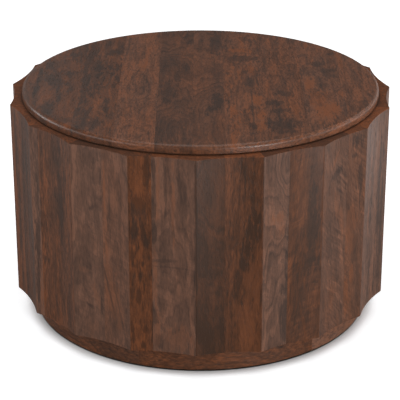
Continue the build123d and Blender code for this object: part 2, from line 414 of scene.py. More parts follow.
class StainedWood:
    """Dark brown stained, lacquered wood, with one material for each board.

    The pattern is solid: a board's end grain and faces show the same fibres. It is worked out in the
    board's own directions: across it, through its depth, and along its fibres. Lightness is counted in
    doublings from the wood's middle tone.

    Attributes:
        STOPS: The wood's colours from its darkest tone, at 0, to its lightest, at 1.
        DOUBLINGS: How many doublings of lightness those stops span.
        COOL: What a grey brown board's colour is multiplied by. Its strong blue partly paints the
        lacquer's grey sheen.
        WARM: What an orange brown board's colour is multiplied by.
        SAWN: What the colour of a sawn end is multiplied by.
        RING_SPACING: From one growth ring to the next.
        RING_DEPTH: From a board's face to the line that its rings lie about.
        PORE_DEPTH: How far the fibres and pores stand out and sink in.
        SPECULAR: Of the lacquer.
        STAIN_REACH: From the corner under the top, where the painted shade ends and where it is full.
        STAIN: How dark the painted shade is in full.
        END_REACH: From a sawn end, where its colour begins and where it is full.
        PATCH_EDGE: How far out in a mark its patch ends and is full, as a share of the mark's size.
        INPUTS: The numbers that the pattern takes.
    """

    STOPS = (
        (0.00, (0.0340, 0.0150, 0.0080)),
        (0.25, (0.0530, 0.0212, 0.0108)),
        (0.50, (0.0800, 0.0300, 0.0146)),
        (0.75, (0.1210, 0.0436, 0.0205)),
        (1.00, (0.1840, 0.0640, 0.0292)),
    )
    DOUBLINGS = 2.4
    # Its strong blue partly stands in for the lacquer's grey sheen: a painted sheen.
    COOL = (0.93, 1.26, 1.72)
    WARM = (1.04, 0.93, 0.70)
    SAWN = (1.06, 0.86, 0.50)
    RING_SPACING = 7 * MM
    RING_DEPTH = 45 * MM
    PORE_DEPTH = 0.12 * MM
    SPECULAR = 0.3
    # Painted shade in the corner under the top's edge, where the top shades the rim.
    STAIN_REACH = (4 * MM, 1.5 * MM)
    STAIN = 0.8
    END_REACH = (0.5 * MM, 0.2 * MM)
    PATCH_EDGE = (1.3, 0.65)
    INPUTS = (
        "Tone", "Warmth", "Cloud", "Streak", "Ring", "Slope", "Swirl", "Mottle", "Ember", "Ripple",
        "Slant", "Fleck", "Grain", "Heart", "Bulge", "Dark", "Glow", "End", "Sawn", "Matt",
    )

    def __init__(self, corner: tuple[float, float]) -> None:
        """Builds the shared pattern once.

        Args:
            corner: Radius and height of the corner between the top and the rim, where shade is painted.
        """
        self.corner = corner
        self.pattern = self._pattern()

    def _pattern(self) -> bpy.types.NodeTree:
        """The pattern that every board shares, as a node group.

        Returns:
            A group that turns a place in the board into colour, roughness and height.
        """
        group = bpy.data.node_groups.new("stained_wood_pattern", "ShaderNodeTree")
        sockets = [("Place", "INPUT", "Vector"), ("Shift", "INPUT", "Vector")]
        sockets += [(name, "INPUT", "Float") for name in self.INPUTS]
        sockets += [("Color", "OUTPUT", "Color")]
        sockets += [(name, "OUTPUT", "Float") for name in ("Roughness", "Height")]
        for name, side, kind in sockets:
            group.interface.new_socket(name, in_out=side, socket_type="NodeSocket" + kind)
        entry = group.nodes.new("NodeGroupInput").outputs
        tree = Tree(group)

        seeded = tree.vector("ADD", entry["Place"], entry["Shift"])
        slow = tree.vector("MULTIPLY", seeded, (14.0, 14.0, 7.0))
        bend = tree.node("TexNoise", {"Vector": slow, "Scale": 1.0}).outputs["Color"]
        bend = tree.vector("SUBTRACT", bend, (0.5, 0.5, 0.5))
        bent = tree.vector("ADD", seeded, tree.vector("MULTIPLY", bend, (22 * MM, 22 * MM, 40 * MM)))

        wander = tree.noise(seeded, (18.0, 18.0, 5.5), 3.0, 0.5)
        rings = self._rings(tree, entry, wander)
        cloud = tree.noise(bent, (30.0, 30.0, 9.0), 6.0, 0.72)
        streak = tree.noise(bent, (110.0, 110.0, 8.0), 5.0, 0.7)
        fray = tree.noise(bent, (190.0, 190.0, 28.0), 2.0, 0.6)
        fibre = tree.noise(bent, (300.0, 300.0, 75.0), 1.0, 0.6)
        pores = tree.fade(tree.noise(bent, (360.0, 360.0, 90.0), 1.0, 0.6), 0.56, 0.66)
        ripple = self._ripple(tree, bent, seeded, entry["Slant"])
        mottle = tree.total(tree.noise(bent, (30.0, 30.0, 8.0), 6.0, 0.7), tree.sway(fray, 0.35))
        mottle = tree.fade(mottle, 0.55, 0.62)
        ember = tree.total(tree.noise(bent, (44.0, 44.0, 9.0), 6.0, 0.72), tree.sway(fray, 0.35))
        ember = tree.fade(ember, 0.55, 0.66)
        fleck = tree.total(tree.noise(bent, (95.0, 95.0, 18.0), 3.0, 0.65), tree.sway(fray, 0.4))
        fleck = tree.fade(fleck, 0.57, 0.66)

        # Dark holds the board's dark marks and the painted shade in the corner under the top.
        dark = tree.most(tree.times(mottle, entry["Mottle"]), entry["Dark"])
        dark = tree.most(tree.times(fleck, entry["Fleck"]), dark)
        glow = tree.most(tree.times(ember, entry["Ember"]), entry["Glow"])
        grain = tree.total(tree.sway(fray, 1.2), tree.sway(fibre, 2.2), tree.times(pores, -0.35))
        figure = tree.total(
            tree.times(tree.total(tree.sway(cloud, 2.3), tree.sway(wander, 1.0)), entry["Cloud"]),
            tree.times(tree.sway(streak, 1.8), entry["Streak"]),
            tree.times(rings, entry["Ring"]),
            tree.times(ripple, entry["Ripple"]),
            tree.times(grain, entry["Grain"]),
        )
        calm = tree.total(1.0, tree.times(glow, -0.6), tree.times(dark, -0.35))
        doublings = tree.total(
            entry["Tone"],
            tree.times(figure, calm),
            tree.times(dark, -0.95),
            tree.times(glow, 0.45),
            tree.times(entry["End"], entry["Sawn"]),
        )
        tone = tree.total(tree.math("DIVIDE", doublings, self.DOUBLINGS), 0.5)
        warmth = tree.total(
            entry["Warmth"],
            tree.times(glow, 0.4),
            tree.times(dark, -0.2),
            tree.sway(wander, 0.7),
            tree.sway(streak, tree.times(entry["Streak"], 0.7)),
        )
        warmth = tree.node("Clamp", {0: warmth}).outputs[0]
        # Boards of low warmth take the grey tint, whose blue partly paints the lacquer's sheen.
        tint = tree.blend(entry["End"], tree.blend(warmth, self.COOL, self.WARM), self.SAWN)
        colour = tree.vector("MULTIPLY", tree.ramp(tone, self.STOPS), tint)
        polish = (tree.sway(cloud, 0.15), tree.times(pores, 0.12), tree.times(entry["End"], 0.3))
        roughness = tree.total(entry["Matt"], *polish)
        height = tree.total(tree.sway(fibre, 0.8), tree.sway(streak, 0.5), tree.times(pores, -0.8))

        leave = group.nodes.new("NodeGroupOutput").inputs
        tree.feed(leave["Color"], colour)
        tree.feed(leave["Roughness"], roughness)
        tree.feed(leave["Height"], height)
        return group

    def _rings(self, tree: Tree, entry: bpy.types.NodeOutputs, wander: Value) -> Socket:
        """Growth rings, in doublings: bands of uneven tone with a thin dark line of late wood.

        The rings lie about a line that slants away behind the board's face, so that the face cuts them in
        pointed arches. Their distance from that line wanders.

        Args:
            tree: The pattern.
            entry: The pattern's inputs.
            wander: The noise that bends the rings.

        Returns:
            The value.
        """
        part = tree.split(entry["Place"])
        aside = tree.less(part[0], entry["Heart"])
        below = tree.total(tree.times(part[2], entry["Slope"]), part[1], self.RING_DEPTH)
        radius = tree.total(tree.hypot(aside, below), tree.sway(wander, entry["Swirl"]))
        turns = tree.total(tree.math("DIVIDE", radius, self.RING_SPACING), entry["Bulge"])
        inputs = {"W": turns, "Scale": 0.6, "Detail": 4.0, "Roughness": 0.7}
        band = tree.node("TexNoise", inputs, noise_dimensions="1D").outputs[0]
        turn = tree.math("FRACT", turns)
        late = tree.times(tree.math("POWER", turn, 3.0), tree.fade(turn, 1.0, 0.9))
        return tree.total(tree.sway(band, 1.6), tree.times(late, -0.5), 0.1)

    def _ripple(self, tree: Tree, bent: Value, seeded: Value, slant: Value) -> Socket:
        """Slanting bars across the fibres, in doublings, which come and go over the board."""
        part = tree.split(bent)
        along = tree.math("MULTIPLY_ADD", part[0], slant, part[2])
        sheared = tree.node("CombineXYZ", {0: part[0], 1: part[1], 2: along}).outputs[0]
        bars = tree.noise(sheared, (26.0, 26.0, 150.0), 3.0, 0.6)
        here = tree.fade(tree.noise(seeded, (16.0, 16.0, 9.0), 2.0, 0.5), 0.38, 0.62)
        return tree.times(tree.sway(bars, 1.6), here)

    def _reach(self, tree: Tree, place: Value, mark: Mark) -> Socket:
        """How far a place lies from a mark's middle: 0 there, 1 on its outline, more outside."""
        inputs = {
            "Vector": place,
            "Location": (mark.across * MM, 0.0, mark.along * MM),
            "Rotation": (0.0, math.radians(mark.tilt), 0.0),
            "Scale": (mark.half_width * MM, 1.0, mark.half_length * MM),
        }
        local = tree.node("Mapping", inputs, vector_type="TEXTURE").outputs[0]
        return tree.length(local, (1.0, 0.0, 1.0))

    def _patches(self, tree: Tree, place: Value, marks: Sequence[Mark]) -> Value:
        """Where some marks lie: 1 inside them, 0 outside, with ragged edges.

        Args:
            tree: The board's material.
            place: Across, depth and along, in metres.
            marks: The marks, all dark or all glowing.

        Returns:
            The mask.
        """
        if not marks:
            return 0.0
        ragged = tree.sway(tree.noise(place, (60.0, 60.0, 24.0), 4.0, 0.7), 3.6)
        frayed = tree.sway(tree.noise(place, (240.0, 240.0, 30.0), 3.0, 0.65), 2.8)
        rough = tree.total(ragged, frayed)
        result: Value = 0.0
        for mark in marks:
            edge = tree.less(self._reach(tree, place, mark), rough)
            mask = tree.times(tree.fade(edge, *self.PATCH_EDGE), abs(mark.strength))
            result = tree.most(result, mask)
        return result

    def _bulge(self, tree: Tree, place: Value, eyes: Sequence[Mark]) -> Value:
        """How many rings the eyes add at a place: each adds its number of rings times exp(-reach squared)."""
        result: Value = 0.0
        for eye in eyes:
            reach = self._reach(tree, place, eye)
            bell = tree.math("EXPONENT", tree.times(tree.times(reach, reach), -1.0))
            result = tree.total(result, tree.times(bell, eye.strength))
        return result

    def _end(self, tree: Tree, place: Value, low: float, high: float) -> Socket:
        """1 on the two sawn ends of a board that runs from low to high, 0 between them."""
        away = tree.math("ABSOLUTE", tree.less(tree.split(place)[2], (low + high) / 2))
        half = (high - low) / 2
        begins, full = self.END_REACH
        return tree.fade(away, half - begins, half - full)

    def _gathered(self, tree: Tree, spot: Value) -> Socket:
        """How much painted shade darkens a place: most in the corner under the top, none further off."""
        radius, height = self.corner
        away = tree.less(tree.length(spot, (1.0, 1.0, 0.0)), radius)
        above = tree.less(tree.split(spot)[2], height)
        return tree.times(tree.fade(tree.hypot(away, above), *self.STAIN_REACH), self.STAIN)

    def board(
        self,
        name: str,
        look: Board,
        axes: Matrix,
        face: float,
        seed: int,
        ends: Optional[tuple[float, float]] = None,
        matt: float = 0.43,
    ) -> bpy.types.Material:
        """The finish of one board.

        Args:
            name: The board's name.
            look: What it looks like.
            axes: Rows that point across the board, through its depth and along it.
            face: Where the board's face lies along the second of them.
            seed: Picks the part of the pattern that the board is cut from.
            ends: Where its end grain shows, along it.
            matt: How rough its lacquer is.

        Returns:
            The material.
        """
        material, tree, shader = new_material(name + "_wood")
        draw = random.Random(seed)
        shift = tuple(draw.uniform(3.0, 40.0) for _ in range(3))
        spot = tree.place()
        inputs = {"Vector": spot, "Location": (0.0, -face, 0.0), "Rotation": tuple(axes.to_euler("XYZ"))}
        place = tree.node("Mapping", inputs).outputs[0]
        inputs = {"Vector": place, "Rotation": (0.0, -math.radians(look.lean), 0.0)}
        leaning = tree.node("Mapping", inputs).outputs[0]
        dark = self._patches(tree, place, [mark for mark in look.marks if mark.strength > 0])
        glow = self._patches(tree, place, [mark for mark in look.marks if mark.strength < 0])
        recipe = RECIPES[look.figure]
        values = {part.name.title(): getattr(recipe, part.name) for part in fields(recipe)}
        values |= {
            "Place": leaning,
            "Shift": shift,
            "Tone": look.tone,
            "Warmth": look.warmth,
            "Slant": look.slant,
            "Heart": look.heart * MM,
            "Bulge": self._bulge(tree, place, look.eyes),
            # The board's dark marks, and painted shade in the corner under the top.
            "Dark": tree.most(dark, self._gathered(tree, spot)),
            "Glow": glow,
            "End": self._end(tree, place, *ends) if ends else 0.0,
            "Sawn": look.sawn - look.tone,
            "Matt": matt,
        }
        pattern = tree.node("Group", node_tree=self.pattern)
        for key, value in values.items():
            tree.feed(pattern.inputs[key], value)
        tree.feed(shader.inputs["Base Color"], pattern.outputs["Color"])
        tree.feed(shader.inputs["Roughness"], pattern.outputs["Roughness"])
        tree.bump(shader, pattern.outputs["Height"], self.PORE_DEPTH)
        shader.inputs["Specular IOR Level"].default_value = self.SPECULAR
        return material


# ---- top


@dataclass
class DrumTop:
    """The round top: boards glued edge to edge, with a rounded upper edge.

    Attributes:
        underside: Height of its lower face.
        upperside: Height of its upper face.
        radius: Of its outline.
        upper_round: Radius of its upper edge.
        lower_round: Radius of its lower edge.
        turn: Angle between the boards and the front, in radians.
        hairline: Depth of the easing at the glue joints.
        matt: How rough its lacquer is.
        widths: The boards' widths in proportion, from left to right.
        looks: One for each board.
        SEED: The pattern's seed for the board before the first.
        LOWER_STEPS: Points round the lower edge.
        UPPER_STEPS: Points round the upper edge.
        FACE_STEPS: Points from the middle of a face out to its edge.
        WIDTH_STEPS: Points across a board.
    """

    SEED = 100
    LOWER_STEPS = 6
    UPPER_STEPS = 14
    FACE_STEPS = 8
    WIDTH_STEPS = 25

    underside: float
    upperside: float
    radius: float
    upper_round: float = 8 * MM
    lower_round: float = 2.5 * MM
    turn: float = math.radians(1.3)
    hairline: float = 0.05 * MM
    matt: float = 0.36
    widths: tuple[float, ...] = (37, 76, 78, 76, 68, 59, 78, 75, 77, 74)
    looks: tuple[Board, ...] = ()

    def joints(self) -> np.ndarray:
        """Places of the glue joints from left to right, with the two edges."""
        shares = np.concatenate([[0.0], np.cumsum(self.widths)]) / sum(self.widths)
        return (2 * shares - 1) * self.radius

    def half_section(self) -> tuple[np.ndarray, np.ndarray, np.ndarray]:
        """The section from the middle of the underside, round the edge, to the middle of the upper face.

        Returns:
            For each point, its share of the way out to the edge, its inset from the outline and its height.
        """
        low_inset, low_rise = quarter_round(self.lower_round, self.LOWER_STEPS)
        high_inset, high_drop = quarter_round(self.upper_round, self.UPPER_STEPS)
        way_out = np.linspace(0.0, 1.0, self.FACE_STEPS, endpoint=False)
        share = np.concatenate([way_out, np.ones(len(low_inset) + len(high_inset)), way_out[::-1]])
        face = np.zeros(len(way_out))
        inset = [face + self.lower_round, low_inset, high_inset[::-1], face + self.upper_round]
        low, high = self.underside, self.upperside
        height = [face + low, low + low_rise, high - high_drop[::-1], face + high]
        return share, np.concatenate(inset), np.concatenate(height)

    def board(self, left: float, right: float) -> Surface:
        """One board between two joints.

        With the outline's radius R less the inset, and an angle a that runs evenly from the left joint to
        the right one, the edge is at x = -R cos a and y = R sin a in front and behind. Points of the flat
        faces lie at a share of that y.

        Args:
            left: Place of the left joint, or of the outline itself.
            right: Place of the right joint, or of the outline itself.

        Returns:
            The closed surface.
        """
        share, inset, height = self.half_section()
        radius = self.radius - inset
        first = np.arccos(np.clip(-(left + self.hairline) / radius, -1.0, 1.0))
        last = np.arccos(np.clip(-(right - self.hairline) / radius, -1.0, 1.0))
        if left <= -self.radius:
            first = np.zeros_like(radius)
        if right >= self.radius:
            last = np.full_like(radius, math.pi)
        steps = np.linspace(0.0, 1.0, self.WIDTH_STEPS)[:, None]
        angle = first + (last - first) * steps
        x = -radius * np.cos(angle)
        y = radius * np.sin(angle) * share
        z = np.broadcast_to(height, x.shape)
        loops = np.concatenate([np.stack([x, -y, z], -1), np.stack([x, y, z], -1)[:, ::-1]], axis=1)
        middle = (self.underside + self.upperside) / 2
        squeeze = 1 - 2 * self.hairline / (self.upperside - self.underside)
        ends = [loops]
        if left > -self.radius:
            ends.insert(0, self.joint_face(loops[0], left, middle, squeeze))
        if right < self.radius:
            ends.append(self.joint_face(loops[-1], right, middle, squeeze))
        return loft(turned(np.concatenate(ends), self.turn))

    @staticmethod
    def joint_face(loop: np.ndarray, at: float, middle: float, squeeze: float) -> np.ndarray:
        """The outline of a glued face, a hairline smaller than the board beside it."""
        face = loop.copy()
        face[:, 0] = at
        face[:, 2] = middle + (face[:, 2] - middle) * squeeze
        return face[None]

    def build(self, wood: StainedWood) -> None:
        """Makes every board."""
        edges = self.joints()
        across = level(self.turn)
        axes = board_axes(across, UP.cross(across))
        for number, (left, right) in enumerate(zip(edges, edges[1:]), 1):
            name = f"top_board_{number:02d}"
            look = self.looks[number - 1]
            material = wood.board(name, look, axes, -self.upperside, self.SEED + number, matt=self.matt)
            make_piece(name, self.board(left, right), material)


# ---- drum


@dataclass
class FlutedDrum:
    """The drum's side: staves glued up from two boards each, with one hollow flute on every stave.

    Attributes:
        bottom: Height of the staves' lower ends.
        rim: Height of their upper ends.
        count: How many staves.
        sharp_radius: From the axis to the arrises before they are eased.
        flute_radius: Of the hollow.
        arris_round: Radius that eases an arris.
        thickness: From the blank's outer chord to its inner face.
        end_round: Radius that eases a flute's ends.
        hairline: Depth of the easing at the seam between a stave's two boards.
        seams: From each stave's middle to that seam, in millimetres.
        looks: A pair for each stave, left board first.
        flute_at: From the drum's axis to the flute's own axis. Worked out.
        inner_at: From the drum's axis to the inner face. Worked out.
        half_angle: Half the angle that one stave takes up. Worked out.
        SEED: The pattern's seed for the first stave's right board.
        FLUTE_STEPS: Points across a board's part of the flute.
        ARRIS_STEPS: Points round an arris.
        END_STEPS: Points round a flute's eased end.
        SHAFT_STEPS: Points up a board between its eased ends.
    """

    SEED = 200
    FLUTE_STEPS = 34
    ARRIS_STEPS = 8
    END_STEPS = 5
    SHAFT_STEPS = 11

    bottom: float
    rim: float
    count: int
    sharp_radius: float = 375.5 * MM
    flute_radius: float = 300 * MM
    arris_round: float = 7.2 * MM
    thickness: float = 38 * MM
    end_round: float = 0.3 * MM
    hairline: float = 0.08 * MM
    seams: tuple[float, ...] = (-8, -6, 15, 22, -12, 9, -21, 4, 17, -15, 11, -3, 19, -9, 7, -18, -40, 2, -20)
    looks: tuple[tuple[Board, Board], ...] = ()
    flute_at: float = field(init=False)
    inner_at: float = field(init=False)
    half_angle: float = field(init=False)

    def __post_init__(self) -> None:
        """Works out half a stave's angle, and where the flute's own axis and the inner face lie."""
        self.half_angle = math.pi / self.count
        chord_at = self.sharp_radius * math.cos(self.half_angle)
        half_chord = self.sharp_radius * math.sin(self.half_angle)
        self.flute_at = chord_at + math.sqrt(self.flute_radius**2 - half_chord**2)
        self.inner_at = chord_at - self.thickness

    def middle(self, index: int) -> float:
        """The angle of a stave's middle, in radians from the front."""
        return (2 * index + 1) * self.half_angle

    def flute(self, start: float, end: float) -> np.ndarray:
        """Points of the hollow from one place to another across a stave at the front.

        The hollow is part of a circle whose centre lies outside the drum, at x = 0 and y = -flute_at.
        """
        x = np.linspace(start, end, self.FLUTE_STEPS)
        return np.stack([x, np.sqrt(self.flute_radius**2 - x**2) - self.flute_at], -1)

    def arris(self) -> np.ndarray:
        """Points of the right-hand arris of a stave at the front, from the hollow to the joint.

        The easing is a circle that touches the hollow from outside and has its centre on the joint's
        plane, so that two neighbouring staves share it.
        """
        reach = self.flute_radius + self.arris_round
        aside = self.flute_at * math.sin(self.half_angle)
        centre_at = self.flute_at * math.cos(self.half_angle) - math.sqrt(reach**2 - aside**2)
        centre = np.array([centre_at * math.sin(self.half_angle), -centre_at * math.cos(self.half_angle)])
        to_flute = np.array([0.0, -self.flute_at]) - centre
        first = math.atan2(to_flute[0], -to_flute[1])
        angle = np.linspace(first, self.half_angle, self.ARRIS_STEPS)
        return centre + self.arris_round * np.stack([np.sin(angle), -np.cos(angle)], -1)

    def outline(self, seam: float, left: bool) -> tuple[np.ndarray, np.ndarray]:
        """The plan of one board of a stave at the front.

        Args:
            seam: From the stave's middle to the glue joint between its boards.
            left: Whether this is the left board.

        Returns:
            The closed outline, and 1 for each point of its outer face, 0 for the rest.
        """
        side = -1.0 if left else 1.0
        arris = self.arris()
        start = side * seam + self.hairline
        face = self.flute(start, arris[0, 0])[:-1]
        at_seam = face[:1] + np.array([[-self.hairline, self.hairline]])
        outer = np.concatenate([at_seam, face, arris])
        inner_corner = self.inner_at * math.tan(self.half_angle)
        inner = np.array([[inner_corner, -self.inner_at], [side * seam, -self.inner_at]])
        plan = np.concatenate([outer, inner])
        plan[:, 0] *= side
        exposed = np.concatenate([np.ones(len(outer)), np.zeros(len(inner))])
        return plan, exposed

    def board(self, index: int, left: bool) -> Surface:
        """One board of one stave: its outline carried up from the lower end to the upper one.

        Near each end the outer face is inset along a quarter circle.
        """
        plan, exposed = self.outline(self.seams[index % len(self.seams)] * MM, left)
        inset, rise = quarter_round(self.end_round, self.END_STEPS)
        low, high = self.bottom + self.end_round, self.rim - self.end_round
        shaft = np.linspace(low, high, self.SHAFT_STEPS + 2)[1:-1]
        heights = np.concatenate([self.bottom + rise, shaft, self.rim - rise[::-1]])
        insets = np.concatenate([inset, np.zeros(len(shaft)), inset[::-1]])
        x = np.broadcast_to(plan[:, 0], (len(heights), len(plan)))
        y = plan[:, 1] + insets[:, None] * exposed
        z = np.broadcast_to(heights[:, None], x.shape)
        return loft(turned(np.stack([x, y, z], -1), self.middle(index)))

    def build(self, wood: StainedWood) -> None:
        """Makes both boards of every stave."""
        for index in range(self.count):
            axes = board_axes(level(self.middle(index)), UP)
            for side, left in (("left", True), ("right", False)):
                name = f"stave_{index + 1:02d}_{side}"
                look = self.looks[index][0 if left else 1]
                seed = self.SEED + 2 * index + left
                material = wood.board(name, look, axes, -self.sharp_radius, seed, (self.bottom, self.rim))
                make_piece(name, self.board(index, left), material)


# ---- plinth


@dataclass
class Plinth:
    """The ring that the drum stands on, sawn from straight-grained segments.

    Attributes:
        bottom: Height of its lower face.
        top: Height of its upper face.
        radius: Of its outside.
        thickness: Along a radius.
        count: How many segments.
        first_joint: Angle of the first joint from the front, in radians.
        edge_round: Radius of its outer edges.
        hairline: Depth of the easing at the joints.
        looks: One for each segment.
        SEED: The pattern's seed for the first segment.
        EDGE_STEPS: Points round an outer edge.
        ARC_STEPS: Points along a segment.
    """

    SEED = 300
    EDGE_STEPS = 5
    ARC_STEPS = 49

    bottom: float
    top: float
    radius: float
    count: int
    thickness: float = 28 * MM
    first_joint: float = math.radians(-19)
    edge_round: float = 1 * MM
    hairline: float = 0.15 * MM
    looks: tuple[Board, ...] = ()

    def section(self, shrink: float) -> np.ndarray:
        """The closed section as (radius, height), with its outer edges eased.

        Args:
            shrink: How far the section is drawn in all round.

        Returns:
            Its points.
        """
        inset, rise = quarter_round(self.edge_round, self.EDGE_STEPS)
        outer = self.radius - shrink
        inner = self.radius - self.thickness + shrink
        low, high = self.bottom + shrink, self.top - shrink
        foot = np.stack([outer - inset, low + rise], -1)
        head = np.stack([outer - inset, high - rise], -1)[::-1]
        return np.concatenate([foot, head, [[inner, high], [inner, low]]])

    def segment(self, index: int) -> Surface:
        """One segment: the section carried round the axis from joint to joint."""
        half = math.pi / self.count
        ease = self.hairline / self.radius
        between = np.linspace(ease - half, half - ease, self.ARC_STEPS)
        angles = np.concatenate([[-half], between, [half]])
        shrinks = np.zeros(len(angles))
        shrinks[[0, -1]] = self.hairline
        sections = np.stack([self.section(shrink) for shrink in shrinks])
        radius, height = sections[..., 0], sections[..., 1]
        x = radius * np.sin(angles)[:, None]
        y = -radius * np.cos(angles)[:, None]
        return loft(turned(np.stack([x, y, height], -1), self.middle(index)))

    def middle(self, index: int) -> float:
        """The angle of a segment's middle, in radians from the front."""
        return self.first_joint + (2 * index + 1) * math.pi / self.count

    def build(self, wood: StainedWood) -> None:
        """Makes every segment."""
        for index in range(self.count):
            axes = board_axes(UP, level(self.middle(index)))
            name = f"plinth_segment_{index + 1}"
            material = wood.board(name, self.looks[index], axes, self.radius, self.SEED + index)
            make_piece(name, self.segment(index), material)


# ---- inner works


class InnerWorks:
    """The pieces that hold the table together, which keep their CAD shapes."""

    @staticmethod
    def raw_wood() -> bpy.types.Material:
        """Planed, unstained wood with straight fibres."""
        material, tree, shader = new_material("raw_wood")
        fibre = tree.noise(tree.place(), (12.0, 300.0, 300.0), 3.0, 0.6)
        colour = tree.ramp(fibre, ((0.3, (0.36, 0.22, 0.12)), (0.7, (0.56, 0.39, 0.24))))
        tree.feed(shader.inputs["Base Color"], colour)
        shader.inputs["Roughness"].default_value = 0.7
        tree.bump(shader, fibre, 0.2 * MM)
        return material

    @staticmethod
    def plywood() -> bpy.types.Material:
        """Plywood: a plain face veneer, and layers of turning grain at the edges."""
        material, tree, shader = new_material("plywood")
        place = tree.place()
        face = tree.noise(place, (6.0, 160.0, 300.0), 3.0, 0.6)
        layer = tree.math("PINGPONG", tree.split(place)[2], 2 * MM)
        layered = tree.math("GREATER_THAN", layer, 1 * MM)
        light = tree.ramp(face, ((0.3, (0.46, 0.31, 0.18)), (0.7, (0.60, 0.43, 0.27))))
        colour = tree.blend(tree.times(layered, 0.25), light, (0.30, 0.18, 0.10))
        tree.feed(shader.inputs["Base Color"], colour)
        shader.inputs["Roughness"].default_value = 0.75
        return material

    @staticmethod
    def zinc() -> bpy.types.Material:
        """Zinc-plated steel with faint passivation colour."""
        material, tree, shader = new_material("zinc_plated_steel")
        cloud = tree.noise(tree.place(), (160.0, 160.0, 160.0), 4.0, 0.6)
        colour = tree.ramp(cloud, ((0.3, (0.50, 0.48, 0.40)), (0.7, (0.68, 0.66, 0.60))))
        tree.feed(shader.inputs["Base Color"], colour)
        shader.inputs["Metallic"].default_value = 1.0
        tree.feed(shader.inputs["Roughness"], tree.total(0.34, tree.sway(cloud, 0.2)))
        return material

    @staticmethod
    def felt() -> bpy.types.Material:
        """Dark pressed wool felt."""
        material, tree, shader = new_material("pressed_felt")
        wool = tree.noise(tree.place(), (900.0, 900.0, 900.0), 5.0, 0.75)
        colour = tree.ramp(wool, ((0.3, (0.018, 0.014, 0.012)), (0.7, (0.050, 0.040, 0.034))))
        tree.feed(shader.inputs["Base Color"], colour)
        shader.inputs["Roughness"].default_value = 0.95
        tree.bump(shader, wool, 0.4 * MM)
        return material

    def build(self) -> None:
        """Gives each CAD node its finish."""
        raw, ply, zinc, felt = self.raw_wood(), self.plywood(), self.zinc(), self.felt()
        finishes = {
            "top_battens": raw,
            "top_blocks": raw,
            "base_panel": ply,
            "batten_screws": zinc,
            "long_screws": zinc,
            "felt_pads": felt,
        }
        for name, material in finishes.items():
            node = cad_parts[name]
            node.data.materials.clear()
            node.data.materials.append(material)
            log.info("%s: %s", name, material.name)


# ---- studio


@dataclass(frozen=True)
class SoftBox:
    """A soft rectangular light that faces the table.

    Attributes:
        name: What it is called.
        azimuth: From the front towards +X, in degrees.
        elevation: Above the floor as seen from the table, in degrees.
        distance: From the middle of the table.
        width: Of the box.
        height: Of the box.
        power: In watts.
    """

    name: str
    azimuth: float
    elevation: float
    distance: float
    width: float
    height: float
    power: float


